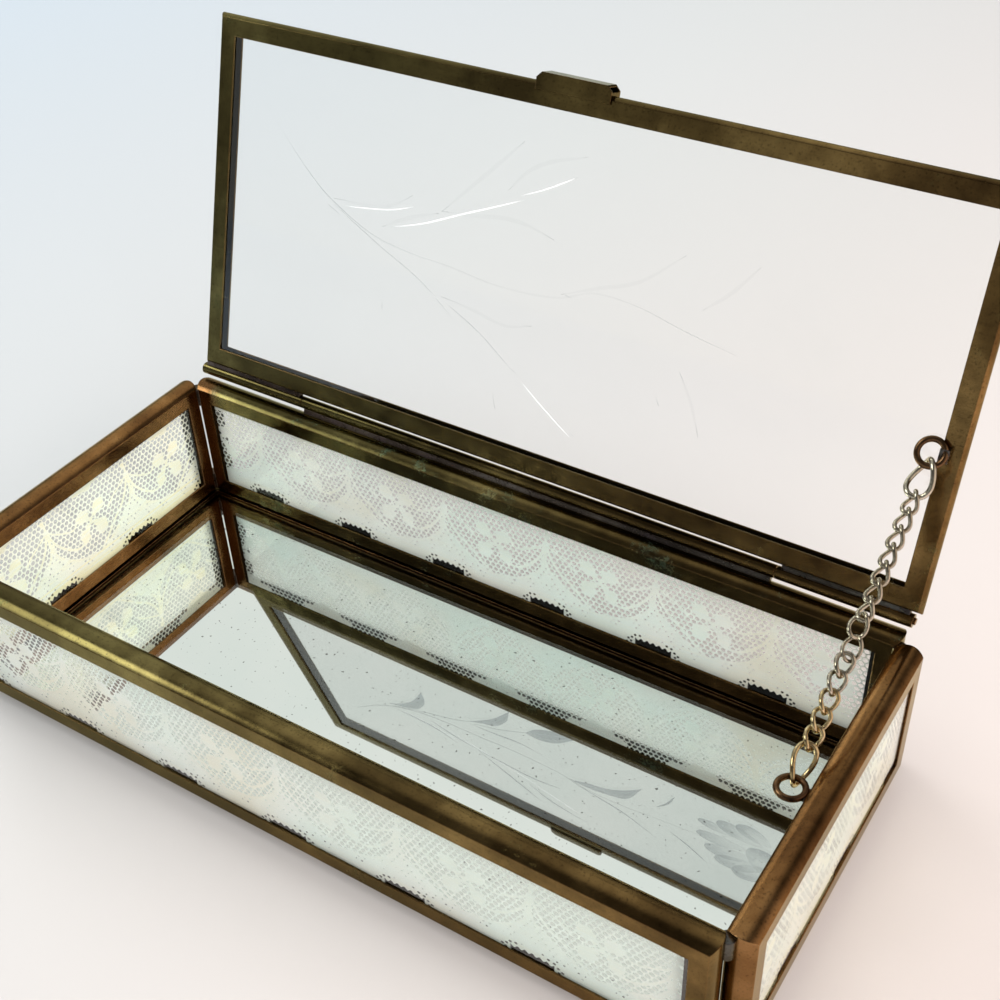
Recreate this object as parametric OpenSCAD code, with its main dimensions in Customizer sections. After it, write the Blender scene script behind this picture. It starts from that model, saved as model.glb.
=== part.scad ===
// Low glass casket: six panels framed in folded brass strip, lace between the wall panes,
// a mirror floor and a clear hinged lid that a fine chain holds open.
// Origin: the middle of the underside. +X runs along the length, +Y goes to the hinge side.

/* [Box] */
// Length between the side walls
inner_l = 190; // [150:1:230]
// Depth between the front and back walls
inner_d = 79.5; // [65:0.5:100]
// Height of the four wall panels
wall_h = 34.8; // [30:0.2:50]
// How far the floor panel's rim lies inside the walls' outer faces
floor_inset = 2; // [1.6:0.1:2.4]
// Least gap between two upright strips at a corner, each way
corner_gap = 0.25; // [0.1:0.05:0.6]
// Width of a solder blob in a corner's notch
blob_w = 3; // [2:0.1:3.4]

/* [Glass and lace] */
// Thickness of one pane of glass
pane_t = 2.4; // [2:0.1:3]
// Thickness of the mirror
mirror_t = 2; // [1.6:0.1:3]
// Thickness of the lace sheet
lace_t = 0.4; // [0.2:0.05:0.6]
// Length of one repeat of the lace
lace_repeat = 29.5; // [20:0.5:40]
// Width of the widest eyelet in the lace
eyelet_w = 1.5; // [0.8:0.1:1.8]
// Gap between the edge of a pane and the shoulder of its strip
pane_gap = 0.06; // [0.02:0.01:0.3]

/* [Brass strip] */
// Thickness of the folded sheet
brass_t = 0.4; // [0.3:0.05:0.6]
// Width of the strip's face, from its crest to its inner edge
face_w = 4.8; // [4:0.1:6]
// Rise of the rounded crest on the walls
wall_crown = 1.1; // [0.7:0.1:1.6]
// Rise of the rounded crest on the lid
lid_crown = 0.8; // [0.5:0.1:1.2]
// Rise of the rounded crest on the floor panel
floor_crown = 0.7; // [0.4:0.1:1]

/* [Lid and hinge] */
// Angle that the open lid makes with the closed one
open_angle = 107.4; // [80:0.1:120]
// How much wider the lid is than the space between the side walls
lid_wider = 3; // [0:0.2:6]
// Sideways shift of the lid, as the hinge was soldered on
lid_shift = 1.2; // [0:0.1:2]
// Distance from the hinge axis to the lid's back crest
lid_back = 2.2; // [2:0.1:4]
// How far the closed lid's front crest passes the front wall's middle plane
lid_over = 0.9; // [-2:0.1:4]
// Height of the hinge axis over the walls' crest
hinge_up = 2; // [1.9:0.1:3.5]
// Distance from the hinge axis in to the back wall's middle plane
hinge_out = 2.8; // [2.4:0.1:4]
// Radius of the hinge tube
tube_r = 1.5; // [1.2:0.05:1.7]
// Radius of the hinge pin
pin_r = 0.75; // [0.5:0.05:0.9]
// Radial clearance of the pin in its tubes
pin_fit = 0.05; // [0.02:0.01:0.1]
// Length of the left tube, from the tube's left end to its joint
tube_left_l = 32.6; // [20:0.2:50]
// Length of the right tube, from its joint to the tube's right end
tube_right_l = 30.4; // [20:0.2:50]
// Gap between two hinge tubes
tube_gap = 0.3; // [0.2:0.05:0.6]
// How much shorter the row of tubes is than the lid
hinge_short = 0.6; // [0:0.1:6]
// How far the pin stands out at each end
pin_out = 0.5; // [0.2:0.1:1.5]
// Length of the lift tab
tab_l = 18; // [10:0.5:30]
// How far the lift tab stands out past the lid's crest
tab_out = 2.1; // [1.2:0.1:4]
// How far the lift tab's skirts reach down the lid's faces
tab_skirt = 1.6; // [1:0.1:2.5]

/* [Chain] */
// Wire of the two eye rings
eye_wire = 1.3; // [1:0.05:1.6]
// Radius of an eye ring at its wire's centre
eye_r = 2.75; // [2.4:0.05:4]
// Distance from the hinge axis to the lid's eye, along the lid
lid_eye_u = 36.9; // [34:0.1:44]
// Tilt of the lid's eye off the lid, towards the chain
lid_eye_tilt = 25; // [15:1:35]
// Distance from the lid's middle plane to its eye's centre
lid_eye_n = 3.3; // [3.2:0.1:3.8]
// Place of the base eye's centre, in front of the box's middle
base_eye_front = 5; // [0:0.5:9]
// Depth of the base eye under the walls' crest
base_eye_down = 1.5; // [1.2:0.1:3]
// Wire of the two oval end links
oval_wire = 1.2; // [1:0.05:1.4]
// Length inside an oval end link
oval_in = 7; // [6:0.1:8]
// Width over an oval end link
oval_w = 6.2; // [5.2:0.1:7]
// Wire of the small links
link_wire = 0.95; // [0.7:0.05:1.1]
// Width over a small link
link_w = 4.2; // [3.6:0.1:4.6]
// Play between two wires that hook together
link_gap = 0.2; // [0.15:0.05:0.3]
// Extra play of the two links that lie side by side
side_play = 0.25; // [0.2:0.05:0.4]
// Length of a solder seat under an eye, along the strip
seat_l = 2.8; // [2:0.1:4]
// How far the lid's solder seat reaches under its eye
seat_in = 1.9; // [1.2:0.1:2.2]
// How far the base eye's solder seat reaches under its eye
base_seat_in = 1.1; // [0.9:0.1:1.2]
// How far the base eye's solder seat hangs under its wire
seat_drop = 0.15; // [0.1:0.05:0.4]
// How far the lid's solder seat stays off the right wall
seat_clear = 0.2; // [0.15:0.05:0.6]

/* [Hidden] */
LINKS = 14;
// The last link that hangs on the lid's half of the chain
SPLIT = 8;
$fn = 48;

wall_t = 2 * pane_t + lace_t + 2 * brass_t;
lid_t = pane_t + 2 * brass_t;
floor_t = mirror_t + 2 * brass_t;
wall_top = floor_t + wall_h;
corner_reach = wall_crown - corner_gap;
front_l = inner_l + 2 * corner_reach;
side_l = inner_d + 2 * corner_reach;
floor_l = inner_l + 2 * (wall_t - floor_inset);
floor_d = inner_d + 2 * (wall_t - floor_inset);
wall_y = (inner_d + wall_t) / 2;
wall_x = (inner_l + wall_t) / 2;
hinge_y = wall_y + hinge_out;
hinge_z = wall_top + hinge_up;
lid_w = inner_l + lid_wider;
lid_front = 2 * wall_y + hinge_out + lid_over;
hinge_l = lid_w - hinge_short;
// How far two mitred strips run into each other
mitre_lap = 0.02;
hinge_x0 = -hinge_l / 2 + 0.1;

BRASS = [0.42, 0.34, 0.18];
COPPER = [0.55, 0.36, 0.2];
SOLDER = [0.33, 0.32, 0.36];
STEEL = [0.72, 0.68, 0.6];
GLASS = [0.86, 0.93, 0.92, 0.35];
LACE = [0.93, 0.93, 0.87];
MIRROR = [0.75, 0.8, 0.8];

// Radius of a crest of a given rise over a strip of thickness t
function crest_r(t, crown) = (t * t / 4 + crown * crown) / (2 * crown);
// Depth at which the inside of the crest meets the inside of a face
function shoulder(t, crown) = crest_r(t, crown)
    - sqrt(pow(crest_r(t, crown) - brass_t, 2) - pow(t / 2 - brass_t, 2));

// Outline of a strip: x goes in from the crest, y goes across the panel
module strip_outline(t, crown, depth = face_w) {
    r = crest_r(t, crown);
    intersection() {
        translate([r, 0]) circle(r = r, $fn = 96);
        translate([0, -t / 2]) square([crown, t]);
    }
    translate([crown, -t / 2]) square([depth - crown, t]);
}

module strip_profile(t, crown) {
    r = crest_r(t, crown);
    s = shoulder(t, crown);
    gap = t - 2 * brass_t;
    difference() {
        strip_outline(t, crown);
        intersection() {
            translate([r, 0]) circle(r = r - brass_t, $fn = 96);
            translate([0, -gap / 2]) square([s, gap]);
        }
        translate([s, -gap / 2]) square([face_w, gap]);
    }
}

module strip(l, h, t, crown) {
    intersection() {
        translate([0, -h / 2, 0]) rotate([90, 0, 90])
            linear_extrude(l, center = true) strip_profile(t, crown);
        linear_extrude(2 * t, center = true)
            polygon([[-l / 2 - mitre_lap, -h / 2], [l / 2 + mitre_lap, -h / 2],
                     [l / 2 - face_w + mitre_lap, face_w - h / 2],
                     [face_w - l / 2 - mitre_lap, face_w - h / 2]]);
    }
}

// One strip bent round a panel that lies flat, with mitred faces
module frame(l, h, t, crown) {
    for (turn = [0, 180]) {
        rotate(turn) strip(l, h, t, crown);
        rotate(turn + 90) strip(h, l, t, crown);
    }
}

// A pane in the frame of the same size, at height z across the panel
module pane(l, h, t, crown, z, thick) {
    edge = 2 * (shoulder(t, crown) + pane_gap);
    translate([(edge - l) / 2, (edge - h) / 2, z]) cube([l - edge, h - edge, thick]);
}

// Puts a flat panel up as a wall: its face turns out and its width runs along the wall
module as_wall(side) {
    turn = side == "front" ? 0 : side == "right" ? 90 : side == "back" ? 180 : 270;
    out = side == "front" || side == "back" ? wall_y : wall_x;
    rotate(turn) translate([0, -out, floor_t + wall_h / 2]) rotate([90, 0, 0]) children();
}

function wall_l(side) = side == "front" || side == "back" ? front_l : side_l;

module wall_frame(side) {
    color(side == "front" || side == "back" ? BRASS : COPPER)
        as_wall(side) frame(wall_l(side), wall_h, wall_t, wall_crown);
}

module wall_glass(side, outer) {
    z = outer ? lace_t / 2 : -lace_t / 2 - pane_t;
    color(GLASS) as_wall(side) pane(wall_l(side), wall_h, wall_t, wall_crown, z, pane_t);
}

// One repeat of the lace's open hem: a wide fan of eyelets and two small clusters
module eyelets() {
    low = face_w + eyelet_w;
    for (i = [-3:3]) {
        translate([i * eyelet_w * 1.25, low + 0.35 * eyelet_w * cos(30 * i)])
            circle(d = eyelet_w * (1 - 0.08 * abs(i)));
    }
    for (c = [-0.36, 0.36], i = [-1:1]) {
        translate([c * lace_repeat + i * eyelet_w, low - 0.1 * eyelet_w * abs(i)]) circle(d = 0.7 * eyelet_w);
    }
}

module lace(side) {
    l = wall_l(side);
    edge = 2 * (shoulder(wall_t, wall_crown) + pane_gap);
    repeats = floor((l / 2 - face_w) / lace_repeat - 0.5);
    color(LACE) as_wall(side) linear_extrude(lace_t, center = true) difference() {
        translate([(edge - l) / 2, (edge - wall_h) / 2]) square([l - edge, wall_h - edge]);
        for (i = [-repeats:repeats]) translate([i * lace_repeat, -wall_h / 2]) eyelets();
    }
}

module floor_frame() {
    color(BRASS) translate([0, 0, floor_t / 2]) frame(floor_l, floor_d, floor_t, floor_crown);
}

module floor_mirror() {
    color(MIRROR) translate([0, 0, floor_t / 2])
        pane(floor_l, floor_d, floor_t, floor_crown, -mirror_t / 2, mirror_t);
}

// Places what is drawn flat on the lid: y goes from the hinge to the front, z goes inwards
module on_lid() {
    translate([0, hinge_y, hinge_z]) rotate([180 - open_angle, 0, 0]) children();
}

module lid_frame() {
    color(BRASS) on_lid() translate([lid_shift, (lid_back + lid_front) / 2, 0])
        frame(lid_w, lid_front - lid_back, lid_t, lid_crown);
}

module lid_glass() {
    color(GLASS) on_lid() translate([lid_shift, (lid_back + lid_front) / 2, 0])
        pane(lid_w, lid_front - lid_back, lid_t, lid_crown, -pane_t / 2, pane_t);
}

module along_x(x, l) {
    translate([x, 0, 0]) rotate([90, 0, 90]) linear_extrude(l) children();
}

module tube(x, l) {
    color(BRASS) translate([0, hinge_y, hinge_z]) along_x(x, l) difference() {
        circle(r = tube_r);
        circle(r = pin_r + pin_fit);
    }
}

middle_x = hinge_x0 + tube_left_l + tube_gap;
middle_l = hinge_l - tube_left_l - tube_right_l - 2 * tube_gap;
right_x = middle_x + middle_l + tube_gap;

module hinge_tube_left() { tube(hinge_x0, tube_left_l); }
module hinge_tube_middle() { tube(middle_x, middle_l); }
module hinge_tube_right() { tube(right_x, tube_right_l); }

module hinge_pin() {
    color(COPPER) translate([0, hinge_y, hinge_z])
        along_x(hinge_x0 - pin_out, hinge_l + 2 * pin_out) circle(r = pin_r);
}

// Solder seam between the middle tube and the back wall's crest
module hinge_solder_box() {
    wide = 0.9 * tube_r;
    r = crest_r(wall_t, wall_crown);
    lean = atan2(hinge_out, hinge_up + r);
    color(SOLDER) along_x(middle_x + 2 * tube_gap, middle_l - 4 * tube_gap) difference() {
        translate([hinge_y, hinge_z]) rotate(-lean)
            translate([-wide / 2, -norm([hinge_out, hinge_up + r]) + r - 0.3])
            square([wide, norm([hinge_out, hinge_up + r]) - r]);
        translate([hinge_y, hinge_z]) circle(r = tube_r);
        translate([wall_y, wall_top - r]) circle(r = r, $fn = 96);
    }
}

// Solder seams between the outer tubes and the lid's back crest
module hinge_solder_lid() {
    wide = 1.1 * tube_r;
    r = crest_r(lid_t, lid_crown);
    color(SOLDER) on_lid()
        for (span = [[hinge_x0 + 1, tube_left_l - 2], [right_x + 1, tube_right_l - 2]])
            along_x(span[0], span[1]) difference() {
                translate([0, -wide / 2]) square([lid_back + lid_crown / 2, wide]);
                circle(r = tube_r);
                translate([lid_back + r, 0]) circle(r = r, $fn = 96);
            }
}

// Solder in the open notch between two upright strips, at the top and the bottom
module corner_solder() {
    h = face_w;
    drop = 1.2 * wall_crown;
    blob_out = blob_w / 4;
    color(SOLDER) for (sx = [0, 1], sy = [0, 1]) mirror([sx, 0, 0]) mirror([0, sy, 0])
        for (z = [floor_t + drop, wall_top - drop - h]) translate([0, 0, z]) linear_extrude(h)
            difference() {
                translate([inner_l / 2 + blob_out, inner_d / 2 + blob_out]) circle(d = blob_w);
                translate([front_l / 2, wall_y]) rotate(180) strip_outline(wall_t, wall_crown);
                translate([wall_x, side_l / 2]) rotate(-90) strip_outline(wall_t, wall_crown);
            }
}

// Folded tab over the lid's front crest, with cut-off corners
module lift_tab() {
    r = crest_r(lid_t, lid_crown);
    half = lid_t / 2 + brass_t;
    cut = 1.2;
    color(BRASS) on_lid() translate([lid_shift, lid_front, 0]) difference() {
        linear_extrude(2 * half, center = true)
            polygon([[-tab_l / 2, -tab_skirt], [tab_l / 2, -tab_skirt], [tab_l / 2, tab_out - cut],
                     [tab_l / 2 - cut, tab_out], [cut - tab_l / 2, tab_out], [-tab_l / 2, tab_out - cut]]);
        along_x(-tab_l, 2 * tab_l) union() {
            rotate(180) strip_outline(lid_t, lid_crown);
            translate([lid_crown, -lid_t / 2]) square([tab_out - lid_crown - brass_t, lid_t]);
        }
    }
}

eye_out = eye_r + eye_wire / 2;
base_eye_x = inner_l / 2 - eye_out;
lid_eye_x = base_eye_x - link_gap;
chain_x = (base_eye_x + lid_eye_x) / 2;

// A ring that lies flat
module eye() {
    rotate_extrude() translate([eye_r, 0]) circle(d = eye_wire);
}

module at_base_eye() {
    translate([base_eye_x, -base_eye_front, wall_top - base_eye_down]) children();
}

module base_eye() {
    color(COPPER) at_base_eye() eye();
}

module base_eye_solder() {
    color(SOLDER) at_base_eye() difference() {
        translate([eye_out - base_seat_in, -seat_l / 2, -eye_wire / 2 - seat_drop])
            cube([base_seat_in, seat_l, 0.6 * eye_wire + seat_drop]);
        eye();
    }
}

module at_lid_eye() {
    on_lid() translate([lid_eye_x, lid_eye_u, lid_eye_n]) rotate([-lid_eye_tilt, 0, 0]) children();
}

module lid_eye() {
    color(COPPER) at_lid_eye() eye();
}

module lid_eye_solder() {
    strip_x = lid_shift + lid_w / 2 - face_w;
    seat_x = min(lid_eye_x + eye_out - seat_in, strip_x);
    color(SOLDER) difference() {
        on_lid() translate([seat_x, lid_eye_u - seat_l / 2, lid_t / 2])
            cube([inner_l / 2 - seat_clear - seat_x, seat_l, lid_eye_n - lid_t / 2 + eye_wire / 6]);
        at_lid_eye() eye();
    }
}

// Ends of the chain, at the centre of each eye's wire, as [y, z]
lid_hook = let (a = 180 - open_angle, b = a - lid_eye_tilt)
    [hinge_y + lid_eye_u * cos(a) - lid_eye_n * sin(a) - eye_r * cos(b),
     hinge_z + lid_eye_u * sin(a) + lid_eye_n * cos(a) - eye_r * sin(b)];
base_hook = [eye_r - base_eye_front, wall_top - base_eye_down];
chain_l = norm(lid_hook - base_hook);
chain_slope = atan2(lid_hook[1] - base_hook[1], lid_hook[0] - base_hook[0]);

// From hook to hook in an oval, and in a small link that lies flat or stands on edge
oval_span = oval_in - eye_wire / 2 - link_wire / 2 - 2 * link_gap;
link_in = floor(100 * (chain_l - 2 * oval_span - link_wire + (LINKS - 2) * link_gap) / LINKS) / 100;
flat_span = link_in + link_wire;
edge_span = link_in - link_wire - 2 * link_gap;

// Flat links carry the pivots in their end wires, and links on edge reach round those wires
function is_flat(i) = i <= SPLIT ? i % 2 == 1 : i % 2 == 0;
function span_of(i) = is_flat(i) ? flat_span : edge_span;
function sum_spans(from, to) = from > to ? 0 : span_of(from) + sum_spans(from + 1, to);
// Distance along the chain from the lid's hook to the middle of a link
function link_at(i) = i <= SPLIT
    ? oval_span + sum_spans(1, i - 1) + span_of(i) / 2
    : chain_l - oval_span - sum_spans(i + 1, LINKS) - span_of(i) / 2;

// A long ring of round wire, standing on edge along x
module wire_link(inside, wide, wire) {
    r = (wide - wire) / 2;
    run = inside + wire - 2 * r;
    rotate([90, 0, 0]) {
        for (s = [-1, 1]) {
            translate([s * run / 2, 0, 0]) rotate(s * 90 - 90)
                rotate([0, 0, -90]) rotate_extrude(angle = 180) translate([r, 0]) circle(d = wire);
            translate([-run / 2, s * r, 0]) rotate([0, 90, 0]) cylinder(d = wire, h = run);
        }
    }
}

// Places a link along the chain, s from the lid's hook, shifted sideways by x
module on_chain(s, x = 0) {
    translate([chain_x + x, lid_hook[0], lid_hook[1]]) rotate([180 + chain_slope, 0, 0])
        translate([0, s, 0]) rotate(90) children();
}

// The oval's middle lies a little nearer to its eye, because the eye's wire is the thicker one
oval_at = oval_span / 2 - (eye_wire - link_wire) / 4;
module oval_link(s) {
    color(STEEL) on_chain(s) wire_link(oval_in, oval_w, oval_wire);
}

// The two links at the split lie side by side, each a little further up its own half
module chain_link(i) {
    side = i == SPLIT ? -1 : i == SPLIT + 1 ? 1 : 0;
    color(STEEL) on_chain(link_at(i) + side * side_play, side * (link_wire + link_gap) / 2)
        rotate([is_flat(i) ? 90 : 0, 0, 0]) wire_link(link_in, link_w, link_wire);
}

wall_frame("front");  // front_frame
wall_frame("back");  // back_frame
wall_frame("left");  // left_frame
wall_frame("right");  // right_frame
floor_frame();
lid_frame();
wall_glass("front", true);  // front_glass_outer
lace("front");  // front_lace
wall_glass("front", false);  // front_glass_inner
wall_glass("back", true);  // back_glass_outer
lace("back");  // back_lace
wall_glass("back", false);  // back_glass_inner
wall_glass("left", true);  // left_glass_outer
lace("left");  // left_lace
wall_glass("left", false);  // left_glass_inner
wall_glass("right", true);  // right_glass_outer
lace("right");  // right_lace
wall_glass("right", false);  // right_glass_inner
floor_mirror();
lid_glass();
hinge_tube_left();
hinge_tube_middle();
hinge_tube_right();
hinge_pin();
hinge_solder_box();
hinge_solder_lid();
corner_solder();
lift_tab();
lid_eye();
lid_eye_solder();
base_eye();
base_eye_solder();
oval_link(oval_at);  // oval_link_upper
oval_link(chain_l - oval_at);  // oval_link_lower
chain_link(1);  // chain_link_1
chain_link(2);  // chain_link_2
chain_link(3);  // chain_link_3
chain_link(4);  // chain_link_4
chain_link(5);  // chain_link_5
chain_link(6);  // chain_link_6
chain_link(7);  // chain_link_7
chain_link(8);  // chain_link_8
chain_link(9);  // chain_link_9
chain_link(10);  // chain_link_10
chain_link(11);  // chain_link_11
chain_link(12);  // chain_link_12
chain_link(13);  // chain_link_13
chain_link(14);  // chain_link_14
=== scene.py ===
import math

import bpy
import numpy as np
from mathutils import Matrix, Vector


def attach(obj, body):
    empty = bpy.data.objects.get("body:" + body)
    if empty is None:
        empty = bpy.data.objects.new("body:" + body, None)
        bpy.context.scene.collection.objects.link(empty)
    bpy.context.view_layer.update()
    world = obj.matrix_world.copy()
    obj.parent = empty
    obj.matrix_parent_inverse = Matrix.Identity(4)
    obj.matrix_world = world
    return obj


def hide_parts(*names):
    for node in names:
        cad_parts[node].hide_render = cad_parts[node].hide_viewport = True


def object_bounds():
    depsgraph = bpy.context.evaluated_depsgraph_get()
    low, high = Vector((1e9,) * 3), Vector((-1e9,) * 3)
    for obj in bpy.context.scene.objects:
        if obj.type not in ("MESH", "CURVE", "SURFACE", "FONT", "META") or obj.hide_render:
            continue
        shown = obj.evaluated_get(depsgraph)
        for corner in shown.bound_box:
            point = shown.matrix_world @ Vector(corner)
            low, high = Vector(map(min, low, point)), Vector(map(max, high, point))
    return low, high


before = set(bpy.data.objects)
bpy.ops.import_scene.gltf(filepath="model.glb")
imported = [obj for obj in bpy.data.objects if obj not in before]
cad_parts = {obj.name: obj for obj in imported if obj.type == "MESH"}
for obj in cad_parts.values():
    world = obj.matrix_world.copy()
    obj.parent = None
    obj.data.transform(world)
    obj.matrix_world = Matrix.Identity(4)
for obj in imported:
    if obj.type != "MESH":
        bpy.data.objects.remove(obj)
cadBounds = [list(v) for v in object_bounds()]
mm = 0.001

# the sizes that the looks share with the CAD, in mm, and the lid's tilt in radians
box = dict(innerL=190, innerD=79.5, wallY=42.75, wallX=98)
lidPlace = dict(hingeY=45.55, hingeZ=39.6, tilt=math.radians(180 - 107.4))


def lidPoint(x, u, n):
    c, s = math.cos(lidPlace["tilt"]), math.sin(lidPlace["tilt"])
    return (x * mm, (lidPlace["hingeY"] + u * c - n * s) * mm, (lidPlace["hingeZ"] + u * s + n * c) * mm)


# short ways to build shader nodes
def newMaterial(name):
    mat = bpy.data.materials.new(name)
    mat.use_nodes = True
    mat.node_tree.nodes.clear()
    return mat, mat.node_tree


def put(tree, kind, ins=None, **props):
    node = tree.nodes.new("ShaderNode" + kind)
    for key, value in props.items():
        setattr(node, key, value)
    for key, value in (ins or {}).items():
        socket = node.inputs[key]
        if isinstance(value, bpy.types.NodeSocket):
            tree.links.new(value, socket)
        else:
            socket.default_value = value
    return node


def ramp(tree, fac, stops):
    node = put(tree, "ValToRGB", {"Fac": fac})
    els = node.color_ramp.elements
    while len(els) < len(stops):
        els.new(0.5)
    for el, (pos, col) in zip(els, stops):
        el.position = pos
        el.color = (*col, 1) if len(col) == 3 else col
    return node.outputs["Color"]


def math2(tree, op, a, b=0.0, clamp=False):
    node = put(tree, "Math", operation=op, use_clamp=clamp)
    for i, v in enumerate((a, b)):
        if isinstance(v, bpy.types.NodeSocket):
            tree.links.new(v, node.inputs[i])
        else:
            node.inputs[i].default_value = v
    return node.outputs[0]


def mixColor(tree, fac, a, b, blend="MIX"):
    node = put(tree, "Mix", data_type="RGBA", blend_type=blend)
    for i, v in zip((0, 6, 7), (fac, a, b)):
        if isinstance(v, bpy.types.NodeSocket):
            tree.links.new(v, node.inputs[i])
        else:
            node.inputs[i].default_value = (*v, 1) if isinstance(v, tuple) and len(v) == 3 else v
    return node.outputs[2]


def between(tree, value, start, end, low=0.0, high=1.0):
    # low at start and high at end, also where start is the larger of the two
    return put(tree, "MapRange", {"Value": value, "From Min": start, "From Max": end,
                                  "To Min": low, "To Max": high}).outputs[0]


def noiseAt(tree, where, scale, detail=4.0, rough=0.55, stretch=None):
    if stretch:
        where = put(tree, "Mapping", {"Vector": where, "Scale": stretch}).outputs[0]
    ins = {"Vector": where, "Scale": scale, "Detail": detail, "Roughness": rough}
    return put(tree, "TexNoise", ins).outputs["Fac"]


# the metals' surface: distances in m, noise in cells per m; broad, cloud and streaks add up to the tone
metal = dict(broad=38, cloud=210, fine=1500, streaks=500, shares=(0.65, 0.28, 0.07), tones=(0.34, 0.5, 0.68),
             bloom=55, bloomSoft=0.13, bloomMost=0.6, specks=2300, wornFrom=0.975, wornTo=0.82, wornMost=0.7,
             brownFrom=-0.05, brownTo=0.08, footFrom=0.011, footTo=0.0065, leftFrom=-0.0875, leftTo=-0.0915,
             edge=0.0003, dentDepth=0.00012, tint=(1.0, 0.93, 0.7, 1))


def agedMetal(name, dark, mid, bright, patina, patinaFrom, rough, dents=0.35, rim=(0.26, 0.14, 0.06),
              rightSide=(1.4, 1.02, 0.98), leftEnd=None, atFoot=(0.66, 0.54, 0.48)):
    mat, t = newMaterial(name)
    at = put(t, "TexCoord").outputs["Object"]
    broad = noiseAt(t, at, metal["broad"], 3)
    cloud = noiseAt(t, at, metal["cloud"], 4, 0.6)
    fine = noiseAt(t, at, metal["fine"], 2, 0.6)
    streaks = noiseAt(t, at, metal["streaks"], 2, 0.6, stretch=(0.12, 1.6, 1.6))
    broadShare, cloudShare, streakShare = metal["shares"]
    tone = math2(t, "ADD", math2(t, "MULTIPLY", broad, broadShare), math2(t, "MULTIPLY", cloud, cloudShare))
    tone = math2(t, "ADD", tone, math2(t, "MULTIPLY", streaks, streakShare))
    color = ramp(t, tone, list(zip(metal["tones"], (dark, mid, bright))))
    # green bloom in a few places
    spots = math2(t, "MULTIPLY", noiseAt(t, at, metal["bloom"], 3, 0.7), 0.75)
    bloom = ramp(t, math2(t, "ADD", spots, math2(t, "MULTIPLY", fine, 0.25)),
                 [(patinaFrom, (0, 0, 0)), (patinaFrom + metal["bloomSoft"], (1, 1, 1))])
    color = mixColor(t, math2(t, "MULTIPLY", bloom, metal["bloomMost"]), color, patina)
    # browner toward the box's right side, darker at its foot, and coppery at some frames' left end
    x, _, z = put(t, "SeparateXYZ", {"Vector": at}).outputs
    toRight = between(t, x, metal["brownFrom"], metal["brownTo"])
    color = mixColor(t, toRight, color, mixColor(t, 1.0, color, rightSide, "MULTIPLY"))
    foot = between(t, z, metal["footFrom"], metal["footTo"])
    color = mixColor(t, foot, color, mixColor(t, 1.0, color, atFoot, "MULTIPLY"))
    if leftEnd:
        atLeft = between(t, x, metal["leftFrom"], metal["leftTo"])
        color = mixColor(t, atLeft, color, leftEnd)
    # worn edges
    edge = put(t, "Bevel", {"Radius": metal["edge"]}, samples=4).outputs[0]
    normal = put(t, "NewGeometry").outputs["Normal"]
    flat = put(t, "VectorMath", {0: edge, 1: normal}, operation="DOT_PRODUCT").outputs["Value"]
    worn = between(t, flat, metal["wornFrom"], metal["wornTo"], high=metal["wornMost"])
    color = mixColor(t, worn, color, rim)
    # dark specks of dirt
    specks = ramp(t, noiseAt(t, at, metal["specks"], 2, 0.5), [(0.3, (0.35, 0.33, 0.3)), (0.42, (1, 1, 1))])
    color = mixColor(t, 0.7, color, specks, "MULTIPLY")
    gloss = math2(t, "ADD", math2(t, "MULTIPLY", cloud, 0.2), rough - 0.1)
    gloss = math2(t, "ADD", gloss, math2(t, "MULTIPLY", bloom, 0.25), clamp=True)
    high = math2(t, "ADD", math2(t, "MULTIPLY", cloud, 0.5), math2(t, "MULTIPLY", fine, 0.25))
    high = math2(t, "ADD", high, math2(t, "MULTIPLY", streaks, 0.08))
    bump = put(t, "Bump", {"Strength": dents, "Distance": metal["dentDepth"], "Height": high,
                           "Normal": edge}).outputs[0]
    shader = put(t, "BsdfPrincipled", {"Base Color": color, "Metallic": 1.0, "Roughness": gloss,
                                       "Normal": bump, "Specular Tint": metal["tint"]})
    put(t, "OutputMaterial", {"Surface": shader.outputs[0]})
    return mat


# shine head on, what a steep look adds, how fast it grows, and the wipe marks' size in cells per m
pane = dict(shine=0.07, atEdge=0.9, growth=4.0, wipes=70, clean=0.02, bending=1.5)


def thinGlass(name, tint, smear, bend=False):
    # the front face shines for both faces of a pane
    mat, t = newMaterial(name)
    at = put(t, "TexCoord").outputs["Object"]
    film = between(t, noiseAt(t, at, pane["wipes"], 2), 0.4, 0.75, pane["clean"], smear)
    facing = put(t, "LayerWeight", {"Blend": 0.5}).outputs["Facing"]
    steep = math2(t, "MULTIPLY", math2(t, "POWER", facing, pane["growth"]), pane["atEdge"])
    shine = math2(t, "ADD", steep, pane["shine"])
    front = math2(t, "SUBTRACT", 1.0, put(t, "NewGeometry").outputs["Backfacing"])
    gloss = put(t, "BsdfGlossy", {"Color": (1, 1, 1, 1), "Roughness": film})
    if bend:
        clear = put(t, "BsdfRefraction", {"Color": (*tint, 1), "Roughness": 0.0, "IOR": pane["bending"]})
    else:
        clear = put(t, "BsdfTransparent", {"Color": (*tint, 1)})
    shine = math2(t, "MULTIPLY", shine, front)
    seen = put(t, "MixShader", {0: shine, 1: clear.outputs[0], 2: gloss.outputs[0]})
    # lamps and soft light pass the pane as they are
    ray = put(t, "LightPath")
    soft = math2(t, "MAXIMUM", ray.outputs["Is Shadow Ray"], ray.outputs["Is Diffuse Ray"])
    nothing = put(t, "BsdfTransparent", {"Color": (1, 1, 1, 1)})
    both = put(t, "MixShader", {0: soft, 1: seen.outputs[0], 2: nothing.outputs[0]})
    put(t, "OutputMaterial", {"Surface": both.outputs[0]})
    return mat


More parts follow.
